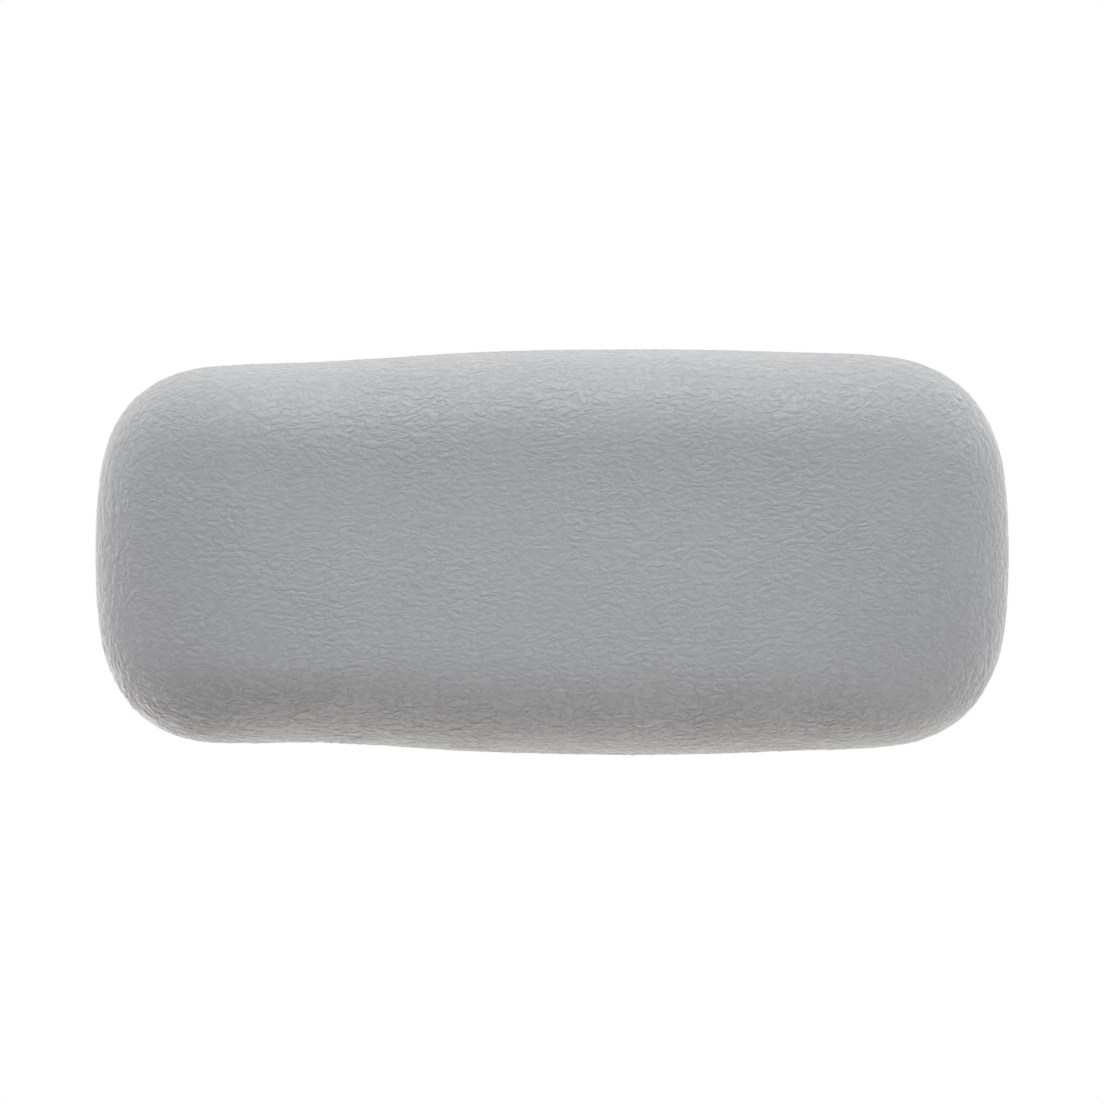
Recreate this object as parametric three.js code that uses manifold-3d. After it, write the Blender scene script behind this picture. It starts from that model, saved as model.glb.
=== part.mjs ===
// Hot tub headrest: a grained moulded cushion on a rigid back plate, hung on two snap pins.
// Millimetres. Each piece is drawn in a face frame: X to the right as the user sees the front,
// Y up, Z from the flat back (Z = 0) towards the user. The whole is then stood upright, so that
// in the finished part +Z is up, the front faces -Y and the pins stick out to +Y.
import * as THREE from "three";
import { mergeVertices, toCreasedNormals } from "three/addons/utils/BufferGeometryUtils.js";
import Module from "manifold-3d";

// ---- cushion ----
const HALF_WIDTH = 133.5;
const HALF_HEIGHT = 59.4;
const DEPTH = 50;            // back face to the crown of the front
const EQUATOR = 17;          // height above the back of the widest section
const ROUND_END = 52;        // reach of the front roundover at the two ends
const ROUND_LONG = 30;       // reach of the front roundover along the top and bottom
const ROUND_POWER = 2.33;    // a little squarer than an ellipse, so it runs softly into the face
const BACK_ROUND = 9;        // reach of the back roundover
const BACK_POWER = 2.2;
const DISH_DEPTH = 0.83;     // hollow for the back of the head
const DISH_HEIGHT = 11.8;    // centre of that hollow above the middle
const END_FALL = 2.7;        // how far the front falls away towards the ends
const LEAN = 0.8;            // how far the middle leans back at the top and the ends lean forward
const SPINE = 62;            // half length of the middle line the front closes onto
const AROUND = 88;           // points round the outline

// ---- layers ----
const SKIN = 1.6;            // skin thickness
const GAP = 0.3;             // working gap between pieces
const LIP_INSET = 24;        // inner edge of the skin's lip on the back
const LAND_INSET = LIP_INSET + 0.6;
const FLANGE_INSET = 16;     // edge of the plate, tucked under the lip

// ---- back plate ----
const PLATE = 4.5;           // whole thickness, land to the tops of the ribs
const PLATE_WEB = 2.5;       // thickness between the ribs
const FLANGE_BACK = SKIN + 0.4;
const DRAIN_R = 2.1;         // drain holes
const DRAIN_PLACES = [[-27.5, 15], [27.5, 15], [-27.5, -15], [27.5, -15]];

// ---- pins and their sockets ----
const PIN_SPACING = 140;
const SCREW_OFFSET = 15.5;   // screws above and below each pin
const COLLAR_R = 8.6;
const COUNTERBORE_R = 9.4;
const COUNTERBORE = 2.6;
const FOOT_R = 4.8;
const FOOT_END = 17.5;       // how deep the foot reaches
const PIN_OUT = 20;          // how far the head stands out of the back
const STEM_R = 4.6;
const HEAD_R = 6.3;
const SLOT = 1.6;            // slots that let the head close
const BORE_R = 5.1;
const CUP_R = 7;
const CUP_END = 20.5;
const SCREW_R = 1.45;
const SCREW_HEAD_R = 3.2;
const SCREW_END = 12;
const FACETS = 20;

// The outline of the cushion, from the front, anticlockwise from the right end.
const OUTLINE = [
  [133.5, 0.0], [132.8, 17.3], [130.9, 29.5], [127.0, 39.0], [121.4, 46.4], [113.9, 52.0],
  [104.8, 55.7], [92.6, 57.5], [71.3, 58.4], [47.1, 59.1], [22.8, 59.3], [-1.5, 59.1],
  [-25.3, 58.3], [-48.5, 56.8], [-70.7, 55.5], [-93.0, 54.7], [-105.7, 53.1], [-114.9, 49.6],
  [-122.0, 44.3], [-127.5, 36.9], [-131.1, 27.7], [-132.9, 15.0], [-133.5, -2.3],
  [-132.7, -19.1], [-130.5, -31.3], [-126.7, -39.8], [-120.8, -47.0], [-113.1, -52.1],
  [-104.2, -55.0], [-91.9, -55.9], [-71.1, -55.9], [-49.8, -56.8], [-26.5, -58.2],
  [-2.3, -59.0], [22.0, -59.4], [45.8, -59.1], [70.1, -58.2], [92.4, -57.4], [105.1, -55.8],
  [113.8, -52.4], [121.3, -46.9], [127.0, -39.5], [130.9, -30.0], [132.9, -17.8],
];

const wasm = await Module();
wasm.setup();

// ---- solids ----
function solidOf(geometry) {
  const flat = geometry.index ? geometry.toNonIndexed() : geometry.clone();
  for (const key of Object.keys(flat.attributes)) {
    if (key !== "position") flat.deleteAttribute(key);
  }
  const merged = mergeVertices(flat, 1e-4);
  return new wasm.Manifold(new wasm.Mesh({
    numProp: 3,
    vertProperties: new Float32Array(merged.attributes.position.array),
    triVerts: new Uint32Array(merged.index.array),
  }));
}

function geometryOf(solid) {
  const mesh = solid.getMesh();
  const geometry = new THREE.BufferGeometry();
  geometry.setAttribute("position", new THREE.BufferAttribute(new Float32Array(mesh.vertProperties), 3));
  geometry.setIndex(new THREE.BufferAttribute(new Uint32Array(mesh.triVerts), 1));
  return toCreasedNormals(geometry, Math.PI / 5);
}

// ---- the outline and sections parallel to it ----
// Points round the curve through OUTLINE, closer together where it bends, with their outward normals.
const edge = (() => {
  const curve = new THREE.CatmullRomCurve3(
    OUTLINE.map(([x, y]) => new THREE.Vector3(x, y, 0)), true, "centripetal");
  curve.arcLengthDivisions = 2000;
  const n = 360;
  const at = (i) => (i + n) % n;
  let p = curve.getSpacedPoints(n).slice(0, n).map(({ x, y }) => [x, y]);
  for (let pass = 0; pass < 60; pass++) {
    for (const k of [0.5, -0.51]) {
      p = p.map((q, i) => q.map((v, c) => v + k * ((p[at(i - 1)][c] + p[at(i + 1)][c]) / 2 - v)));
    }
  }
  const normal = p.map((_, i) => {
    const [ax, ay] = p[at(i - 1)];
    const [bx, by] = p[at(i + 1)];
    const l = Math.hypot(bx - ax, by - ay);
    return [(by - ay) / l, (ax - bx) / l];
  });
  const along = [0];
  for (let i = 0; i < n; i++) {
    const j = at(i + 1);
    const turn = Math.hypot(normal[j][0] - normal[i][0], normal[j][1] - normal[i][1]);
    along.push(along[i] + Math.hypot(p[j][0] - p[i][0], p[j][1] - p[i][1]) + 40 * turn);
  }
  const points = [];
  for (let k = 0, i = 0; k < AROUND; k++) {
    const s = along[n] * k / AROUND;
    while (along[i + 1] <= s) i++;
    const f = (s - along[i]) / (along[i + 1] - along[i]);
    const mix = (a) => [0, 1].map((c) => a[i][c] + f * (a[at(i + 1)][c] - a[i][c]));
    const [x, y] = mix(p);
    const [nx, ny] = mix(normal);
    const l = Math.hypot(nx, ny);
    points.push({ x, y, nx: nx / l, ny: ny / l });
  }
  return points;
})();

// A section moved in from the outline by the same amount all round.
const inset = (d) => edge.map((e) => [e.x - e.nx * d, e.y - e.ny * d]);

// A section moved in by `d`, then drawn in by `a` at the two ends and by `b` along the long sides.
const insetOval = (d, a, b) => inset(d).map(([x, y]) => [
  x * (1 - a / (HALF_WIDTH - d)), y * (1 - b / (HALF_HEIGHT - d)),
]);

const smooth = (t) => {
  const c = Math.min(Math.max(t, 0), 1);
  return c * c * (3 - 2 * c);
};

// How far the front stands off a flat face: a shallow hollow for the head, ends that fall away, a lower
// left corner that is drawn in a little, and a middle that leans back at the top while the ends lean forward.
function relief(x, y) {
  const across = x / 110;
  const up = y / 50;
  const hollow = DISH_DEPTH * (1 - smooth((Math.abs(x) - 45) / 55)) * Math.exp(-(((y - DISH_HEIGHT) / 20) ** 2));
  const fall = END_FALL * Math.min(Math.max(0, Math.abs(x) - 54) / 55, 1.4) ** 2;
  const corner = Math.exp(-(((x + 98) / 30) ** 2)) * smooth((-y - 29) / 23);
  const lean = (2 * across ** 2 - 1) * LEAN * (up - 0.4 * (4 * up ** 3 - 3 * up)) + 0.26 * across + 0.17 * across * up;
  return lean - hollow - fall - corner - 0.8;
}

// Rings of the cushion's surface, `off` inside its outside: back roundover, sides, front.
function cushionRings(off) {
  const rings = [];
  const quarter = (deg, power) => {
    const a = THREE.MathUtils.degToRad(deg);
    return [1 - Math.max(0, Math.cos(a)) ** (2 / power), Math.sin(a) ** (2 / power)];
  };
  for (const deg of [90, 62, 38, 18]) {
    const [part, fall] = quarter(deg, BACK_POWER);
    rings.push(inset(off + (BACK_ROUND - off) * part).map(([x, y]) => [x, y, EQUATOR - (EQUATOR - off) * fall]));
  }
  for (const deg of [0, 17, 33, 47, 60, 72, 82, 90]) {
    const [part, rise] = quarter(deg, ROUND_POWER);
    const oval = insetOval(off, (ROUND_END - off) * part, (ROUND_LONG - off) * part);
    rings.push(oval.map(([x, y]) => [x, y, EQUATOR + (DEPTH - off - EQUATOR + relief(x, y)) * rise]));
  }
  const last = rings[rings.length - 1];
  for (const k of [0.7, 0.4, 0.12]) {
    rings.push(last.map(([x, y]) => {
      const cx = Math.min(Math.max(x, -SPINE), SPINE);
      const px = cx + (x - cx) * k;
      const py = y * k;
      return [px, py, DEPTH - off + relief(px, py)];
    }));
  }
  return rings;
}

// The two long rows of the innermost ring are joined across.
function capRing(start, ring, facing) {
  const contour = ring.map(([x, y]) => new THREE.Vector2(x, y));
  const faces = THREE.ShapeUtils.triangulateShape(contour, []);
  return faces.map(([a, b, c]) => {
    const area = (contour[b].x - contour[a].x) * (contour[c].y - contour[a].y)
      - (contour[c].x - contour[a].x) * (contour[b].y - contour[a].y);
    return (area > 0) === facing
      ? [start + a, start + b, start + c] : [start + a, start + c, start + b];
  });
}

// A closed body swept through a list of rings and capped at both ends.
function bodyOf(rings) {
  const n = AROUND;
  const position = rings.flat(2);
  const index = [];
  for (let r = 0; r < rings.length - 1; r++) {
    const s = r + 1;
    for (let i = 0; i < n; i++) {
      const j = (i + 1) % n;
      index.push(r * n + i, r * n + j, s * n + j, r * n + i, s * n + j, s * n + i);
    }
  }
  index.push(...capRing(0, rings[0], false).flat());
  index.push(...capRing((rings.length - 1) * n, rings[rings.length - 1], true).flat());
  const geometry = new THREE.BufferGeometry();
  geometry.setAttribute("position", new THREE.Float32BufferAttribute(position, 3));
  geometry.setIndex(index);
  return geometry;
}

const flatRing = (d, z) => inset(d).map(([x, y]) => [x, y, z]);

// A plate of the outline's own shape between two heights.
function slab(d, from, to) {
  const shape = new THREE.Shape(inset(d).map(([x, y]) => new THREE.Vector2(x, y)));
  const geometry = new THREE.ExtrudeGeometry(shape, { depth: to - from, bevelEnabled: false, steps: 1 });
  geometry.translate(0, 0, from);
  return solidOf(geometry);
}

function roundShape(width, height, radius) {
  const w = width / 2;
  const h = height / 2;
  const s = new THREE.Shape();
  s.moveTo(-w + radius, -h);
  s.lineTo(w - radius, -h);
  s.absarc(w - radius, -h + radius, radius, -Math.PI / 2, 0, false);
  s.lineTo(w, h - radius);
  s.absarc(w - radius, h - radius, radius, 0, Math.PI / 2, false);
  s.lineTo(-w + radius, h);
  s.absarc(-w + radius, h - radius, radius, Math.PI / 2, Math.PI, false);
  s.lineTo(-w, -h + radius);
  s.absarc(-w + radius, -h + radius, radius, Math.PI, Math.PI * 1.5, false);
  return s;
}

// A block with rounded corners, standing between two heights.
function block(x, y, width, height, radius, from, to, segments = 4) {
  const geometry = new THREE.ExtrudeGeometry(roundShape(width, height, radius), {
    depth: to - from, bevelEnabled: false, steps: 1, curveSegments: segments,
  });
  geometry.translate(x, y, from);
  return solidOf(geometry);
}

// A round bar along Z between two heights.
function bar(x, y, radius, from, to, facets = FACETS) {
  const geometry = new THREE.CylinderGeometry(radius, radius, to - from, facets);
  geometry.rotateX(Math.PI / 2);
  geometry.translate(x, y, (from + to) / 2);
  return solidOf(geometry);
}

// A turned body about Z: its profile is given as radius and height, from the axis back to it.
function turned(profile, facets = FACETS) {
  const geometry = new THREE.LatheGeometry(profile.map(([r, z]) => new THREE.Vector2(r, z)), facets);
  geometry.rotateX(Math.PI / 2);
  return solidOf(geometry);
}

// ---- skin ----
// One shell, open at the back inside its lip.
function skinGeometry() {
  const shell = solidOf(bodyOf([flatRing(LIP_INSET, 0), ...cushionRings(0)]));
  const hollow = solidOf(bodyOf([flatRing(LIP_INSET, SKIN), ...cushionRings(SKIN)]));
  return geometryOf(shell.subtract(hollow).subtract(slab(LIP_INSET, -1, SKIN + 1)));
}

// ---- foam ----
const socketPlaces = [-PIN_SPACING / 2, PIN_SPACING / 2];
const screwPlaces = [SCREW_OFFSET, -SCREW_OFFSET];

function foamGeometry() {
  const off = SKIN + GAP;
  let foam = solidOf(bodyOf([flatRing(LIP_INSET, off), ...cushionRings(off)]));
  foam = foam.subtract(slab(FLANGE_INSET - 0.4, off - 1, PLATE + GAP));
  for (const x of socketPlaces) {
    foam = foam
      .subtract(bar(x, 0, CUP_R + 0.5, PLATE, CUP_END + 0.5))
      .subtract(block(x, 0, 19, 2 * SCREW_OFFSET + 12, 6, PLATE, 10.6))
      .subtract(bar(x, SCREW_OFFSET, 4.4, PLATE, 13.6, 16))
      .subtract(bar(x, -SCREW_OFFSET, 4.4, PLATE, 13.6, 16));
  }
  return geometryOf(foam);
}

// ---- back plate ----
function plateGeometry() {
  let plate = slab(FLANGE_INSET, FLANGE_BACK, PLATE).add(slab(LAND_INSET, 0, PLATE));
  // cells between the ribs on the foam side
  const cells = [
    [-27.5, 15, 49, 24], [27.5, 15, 49, 24], [-27.5, -15, 49, 24], [27.5, -15, 49, 24],
    [-94, 13, 16, 20], [-94, -13, 16, 20], [94, 13, 16, 20], [94, -13, 16, 20],
  ];
  for (const [x, y, w, h] of cells) {
    plate = plate.subtract(block(x, y, w, h, 4, PLATE_WEB, PLATE + 1, 3));
  }
  for (const [x, y] of DRAIN_PLACES) plate = plate.subtract(bar(x, y, DRAIN_R, -1, PLATE + 1, 16));
  for (const x of socketPlaces) {
    plate = plate
      .subtract(bar(x, 0, COUNTERBORE_R, -1, COUNTERBORE, 24))
      .subtract(bar(x, 0, BORE_R + 0.2, 0, PLATE + 1));
    for (const y of screwPlaces) {
      plate = plate
        .subtract(bar(x, y, SCREW_HEAD_R + 0.4, -1, 2.1, 14))
        .subtract(bar(x, y, SCREW_R + 0.35, 0, PLATE + 1, 10));
    }
  }
  return geometryOf(plate);
}

// ---- socket: a cup with two screw ears ----
function socketGeometry() {
  const from = PLATE + GAP;
  let socket = bar(0, 0, CUP_R, from, CUP_END)
    .add(block(0, 0, 11, 2 * SCREW_OFFSET + 9, 5.4, from, 9.8, 5))
    .add(bar(0, 0, 9, from, 9.8));
  for (const y of screwPlaces) socket = socket.add(bar(0, y, 3.9, from, 13, 16));
  socket = socket
    .subtract(bar(0, 0, BORE_R, 0, CUP_END - 2))
    .subtract(bar(0, 0, 1.2, 0, CUP_END + 1, 10));
  for (const y of screwPlaces) socket = socket.subtract(bar(0, y, SCREW_R + 0.15, 0, SCREW_END + 0.4, 12));
  return geometryOf(socket);
}

// ---- snap pin: foot in the cup, collar in the plate, split head behind ----
const ORING_AT = 12.4;
const ORING_MAJOR = 4.2;
const ORING_MINOR = 0.72;

function pinGeometry() {
  const out = -PIN_OUT;
  let pin = turned([
    [0, out], [3.7, out], [4.1, out + 0.5], [HEAD_R, out + 7.4], [HEAD_R, out + 8.4], [STEM_R, out + 9.6],
    [STEM_R, -1.2], [STEM_R + 0.6, -0.1], [COLLAR_R - 0.4, 0.1], [COLLAR_R, 0.5], [COLLAR_R, 1.7],
    [FOOT_R, 1.7], [FOOT_R, ORING_AT - 0.95], [3.4, ORING_AT - 0.95], [3.4, ORING_AT + 0.95],
    [FOOT_R, ORING_AT + 0.95], [FOOT_R, FOOT_END - 1], [FOOT_R - 0.9, FOOT_END], [0, FOOT_END],
  ]);
  pin = pin
    .subtract(bar(0, 0, 2.1, out - 1, -4.5, 12))
    .subtract(block(0, 0, 2 * HEAD_R + 2, SLOT, 0.1, out - 1, -5, 1))
    .subtract(block(0, 0, SLOT, 2 * HEAD_R + 2, 0.1, out - 1, -5, 1));
  return geometryOf(pin);
}

function oringGeometry() {
  const geometry = new THREE.TorusGeometry(ORING_MAJOR, ORING_MINOR, 6, FACETS);
  geometry.translate(0, 0, ORING_AT);
  return geometryOf(solidOf(geometry));
}

function washerGeometry() {
  return geometryOf(bar(0, 0, COLLAR_R - 0.2, 1.8, 2.5).subtract(bar(0, 0, FOOT_R + 0.15, 0, 4)));
}

// ---- screw: pan head with a cross recess, plain shank ----
function screwGeometry() {
  let screw = turned([
    [0, 0.25], [1.9, 0.25], [2.8, 0.6], [SCREW_HEAD_R, 1.2], [SCREW_HEAD_R, 2.0],
    [SCREW_R, 2.0], [SCREW_R, SCREW_END - 1.6], [0.5, SCREW_END], [0, SCREW_END],
  ], 12);
  screw = screw
    .subtract(block(0, 0, 3.4, 0.8, 0.1, -1, 1.35, 1))
    .subtract(block(0, 0, 0.8, 3.4, 0.1, -1, 1.35, 1));
  return geometryOf(screw);
}

// ---- materials ----
const vinyl = new THREE.MeshStandardMaterial({ color: 0x9c9d9f, roughness: 0.55, metalness: 0 });
const foam = new THREE.MeshStandardMaterial({ color: 0xcfcdc6, roughness: 0.95, metalness: 0 });
const abs = new THREE.MeshStandardMaterial({ color: 0x55585c, roughness: 0.5, metalness: 0 });
const acetal = new THREE.MeshStandardMaterial({ color: 0x1d1e20, roughness: 0.45, metalness: 0 });
const nylon = new THREE.MeshStandardMaterial({ color: 0xe6e3da, roughness: 0.4, metalness: 0 });
const nitrile = new THREE.MeshStandardMaterial({ color: 0x151515, roughness: 0.7, metalness: 0 });
const steel = new THREE.MeshStandardMaterial({ color: 0xb9bcc0, roughness: 0.3, metalness: 1 });

function piece(name, geometry, material) {
  const mesh = new THREE.Mesh(geometry, material);
  mesh.name = name;
  return mesh;
}

// ---- assembly ----
const upright = new THREE.Group();
upright.rotation.x = Math.PI / 2;
upright.add(
  piece("cover_skin", skinGeometry(), vinyl),
  piece("foam_core", foamGeometry(), foam),
  piece("back_plate", plateGeometry(), abs),
);

for (const [side, x] of [["left", socketPlaces[0]], ["right", socketPlaces[1]]]) {
  const fixing = new THREE.Group();
  fixing.position.x = x;
  fixing.add(
    piece(`pin_socket_${side}`, socketGeometry(), acetal),
    piece(`snap_pin_${side}`, pinGeometry(), nylon),
    piece(`pin_washer_${side}`, washerGeometry(), nitrile),
    piece(`pin_oring_${side}`, oringGeometry(), nitrile),
  );
  for (const [place, y] of [["upper", screwPlaces[0]], ["lower", screwPlaces[1]]]) {
    const screw = piece(`socket_screw_${side}_${place}`, screwGeometry(), steel);
    screw.position.y = y;
    fixing.add(screw);
  }
  upright.add(fixing);
}

const headrest = new THREE.Group();
headrest.name = "hot_tub_headrest";
headrest.add(upright);

export default headrest;
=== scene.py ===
# Hot tub headrest: a grained, moulded cushion on a rigid back plate, hung on two snap pins.
# Metres, +Z up, the front faces -Y and the pins stick out of the back to +Y.
import math

import bmesh
import bpy
import numpy as np
from mathutils import Matrix, Vector


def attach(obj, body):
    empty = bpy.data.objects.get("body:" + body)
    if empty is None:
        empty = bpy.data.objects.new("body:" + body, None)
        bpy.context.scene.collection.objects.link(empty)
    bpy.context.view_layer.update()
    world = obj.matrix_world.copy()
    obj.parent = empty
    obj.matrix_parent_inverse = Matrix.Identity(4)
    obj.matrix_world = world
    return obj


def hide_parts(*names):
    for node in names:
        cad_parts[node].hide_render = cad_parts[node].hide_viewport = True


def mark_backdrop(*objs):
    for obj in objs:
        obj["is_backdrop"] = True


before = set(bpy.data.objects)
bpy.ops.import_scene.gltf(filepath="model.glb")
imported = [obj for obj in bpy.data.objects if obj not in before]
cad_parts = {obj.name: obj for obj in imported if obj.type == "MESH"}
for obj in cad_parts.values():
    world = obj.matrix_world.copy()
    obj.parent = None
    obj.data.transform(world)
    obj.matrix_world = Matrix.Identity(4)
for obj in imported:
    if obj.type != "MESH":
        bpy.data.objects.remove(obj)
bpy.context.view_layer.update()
scene = bpy.context.scene
MM = 0.001

# ---------------------------------------------------------------- dimensions, in millimetres
HALF_WIDTH = 133.5
HALF_HEIGHT = 59.4
DEPTH = 50.0        # back face to the crown of the front
EQUATOR = 17.0      # height above the back of the widest section
ROUND_END = 52.0    # reach of the front roundover at the two ends
ROUND_LONG = 30.0   # and along the top and bottom
ROUND_POWER = 2.33   # a little squarer than an ellipse, so it runs softly into the face
BACK_ROUND = 9.0
SKIN = 1.6
LIP_INSET = 24.0
OUTLINE = [
    (133.5, 0.0), (132.8, 17.3), (130.9, 29.5), (127.0, 39.0), (121.6, 46.6), (114.0, 52.2), (104.85, 55.9),
    (92.6, 57.7), (71.3, 58.4), (47.1, 59.1), (22.8, 59.3), (-1.5, 59.1), (-25.3, 58.3), (-48.5, 56.8),
    (-70.7, 55.5), (-93.0, 54.7), (-105.7, 53.3), (-115.0, 49.9), (-122.3, 44.6), (-127.8, 37.1), (-131.1, 27.7),
    (-132.9, 15.0), (-133.5, -2.3), (-132.7, -19.1), (-130.5, -31.3), (-126.7, -39.8), (-121.0, -47.2),
    (-113.2, -52.4), (-104.3, -55.3), (-91.9, -56.0), (-71.1, -55.75), (-49.8, -56.65), (-26.5, -58.2), (-2.3, -59.0),
    (22.0, -59.4), (45.8, -59.1), (70.1, -58.2), (92.4, -57.4), (105.1, -55.8), (113.9, -52.5), (121.5, -47.1),
    (127.0, -39.5), (130.9, -30.0), (132.9, -17.8),
]
ALONG, ACROSS = 180, 120     # points along a long side and along an end
ROUND_RINGS = 100
RUN_DEPTH, EDGE_DEPTH = 0.095, 0.068   # depth of the creases, of the pillows' edges

# ---------------------------------------------------------------- small helpers


def smooth(t):
    t = np.clip(t, 0.0, 1.0)
    return t * t * (3 - 2 * t)


def stand(p):
    """Face-frame points (x, up, out of the front), in mm, to the row frame in metres."""
    p = np.asarray(p, float)
    return np.stack([p[..., 0], -p[..., 2], p[..., 1]], -1) * MM


def link(name, mesh):
    ob = bpy.data.objects.new(name, mesh)
    scene.collection.objects.link(ob)
    return ob


def mesh_of(name, points, faces, smooth_shade=True):
    me = bpy.data.meshes.new(name)
    me.from_pydata([tuple(p) for p in points], [], faces)
    me.validate()
    if smooth_shade:
        me.polygons.foreach_set("use_smooth", [True] * len(me.polygons))
    me.update()
    return me


# ---------------------------------------------------------------- the outline


def closed_curve(points, per=120):
    """A closed curve through the points, then made smooth in its bending as well."""
    P = np.array(points, float)
    n = len(P)
    t = np.linspace(0, 1, per, endpoint=False)[:, None]
    out = []
    for i in range(n):
        a, b, c, d = P[i - 1], P[i], P[(i + 1) % n], P[(i + 2) % n]
        d0, d1, d2 = (np.linalg.norm(v) ** 0.5 for v in (b - a, c - b, d - c))
        t1 = ((b - a) / d0 - (c - a) / (d0 + d1) + (c - b) / d1) * d1
        t2 = ((c - b) / d1 - (d - b) / (d1 + d2) + (d - c) / d2) * d1
        out.append(b * (2 * t**3 - 3 * t**2 + 1) + t1 * (t**3 - 2 * t**2 + t)
                   + c * (-2 * t**3 + 3 * t**2) + t2 * (t**3 - t**2))
    Q = np.concatenate(out)
    for _ in range(3):
        s = np.r_[0, np.cumsum(np.linalg.norm(np.diff(np.r_[Q, Q[:1]], axis=0), axis=1))]
        u = np.linspace(0, s[-1], 4096, endpoint=False)
        Q = np.stack([np.interp(u, s, np.r_[Q[:, k], Q[0, k]]) for k in (0, 1)], 1)
    length = s[-1]
    f = np.fft.fftfreq(4096, length / 4096)
    keep = 1 - (1 - np.exp(-0.5 * (2 * np.pi * f * 4.0) ** 2)) ** 3
    z = np.fft.ifft(np.fft.fft(Q[:, 0] + 1j * Q[:, 1]) * keep)
    dz = np.fft.ifft(np.fft.fft(z) * 2j * np.pi * f)
    dz /= np.abs(dz)
    return np.stack([z.real, z.imag], 1), np.stack([dz.imag, -dz.real], 1), length


def outline_points():
    """Points round the outline and their outward normals, from the lower right corner: right end, top, left end, bottom."""
    P, N, length = closed_curve(OUTLINE)
    steep = np.abs(N[:, 0]) > np.abs(N[:, 1])
    turn = np.flatnonzero(steep != np.roll(steep, 1))
    quarter = {(P[i, 0] > 0, P[i, 1] > 0): i for i in turn}
    ids = [quarter[k] for k in ((True, False), (True, True), (False, True), (False, False))]
    at = []
    for k, count in enumerate((ACROSS, ALONG, ACROSS, ALONG)):
        a, b = ids[k], ids[(k + 1) % 4]
        b += 4096 if b <= a else 0
        at.append(np.linspace(a, b, count, endpoint=False))
    at = np.concatenate(at)
    pick = lambda A: np.stack([np.interp(at % 4096, np.arange(4097), np.r_[A[:, k], A[0, k]]) for k in (0, 1)], 1)
    n = pick(N)
    return pick(P), n / np.linalg.norm(n, axis=1, keepdims=True)


EDGE, EDGE_N = outline_points()
AROUND = len(EDGE)


def inset(d, edge=None, normal=None):
    return (EDGE if edge is None else edge) - (EDGE_N if normal is None else normal) * d


def relief(x, y):
    """How far the front stands off a flat face: a shallow hollow for the head, ends that fall away, and a middle
    that leans back a little at the top while the ends lean forward."""
    across, up = x / 110, y / 50
    hollow = 0.83 * (1 - smooth((np.abs(x) - 45) / 55)) * np.exp(-(((y - 11.8) / 20) ** 2))
    fall = 2.7 * np.clip((np.abs(x) - 54) / 55, 0, 1.4) ** 2
    corner = 2.8 * np.exp(-(((x + 90) / 36) ** 2)) * smooth((-y - 32) / 23)
    corner -= 1.0 * np.exp(-(((np.abs(x) - 98) / 24) ** 2)) * smooth((y - 20) / 18)
    lean = (2 * across**2 - 1) * (0.8 * up - 0.32 * (4 * up**3 - 3 * up)) + 0.26 * across + 0.17 * across * up
    return lean - hollow - fall - corner - 0.8


def front_ring(edge, u, off=0.0):
    """The section at share u of the front roundover, `off` under the outside, and its height."""
    hw, hh = HALF_WIDTH - off, HALF_HEIGHT - off
    x = edge[:, 0] * (1 - (ROUND_END - off) / hw * u)
    y = edge[:, 1] * (1 - (ROUND_LONG - off) / hh * u)
    rise = (1 - (1 - u) ** ROUND_POWER) ** (1 / ROUND_POWER)
    z = EQUATOR + (DEPTH - off - EQUATOR + relief(x, y)) * rise
    return np.stack([x, y, z], 1)


def round_steps(count):
    """Shares u of the roundover, evenly spaced along its surface."""
    a = np.linspace(0, math.pi / 2, 2000)
    u = 1 - np.cos(a) ** (2 / ROUND_POWER)
    z = np.sin(a) ** (2 / ROUND_POWER)
    s = np.r_[0, np.cumsum(np.hypot(np.diff(u) * ROUND_LONG, np.diff(z) * (DEPTH - EQUATOR)))]
    return np.interp(np.linspace(0, s[-1], count), s, u)


def ring_faces(a, b, n):
    """Quads between two rings of n points that start at indices a and b."""
    i = np.arange(n)
    j = (i + 1) % n
    return np.stack([a + i, a + j, b + j, b + i], 1)


# ---------------------------------------------------------------- the skin


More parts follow.
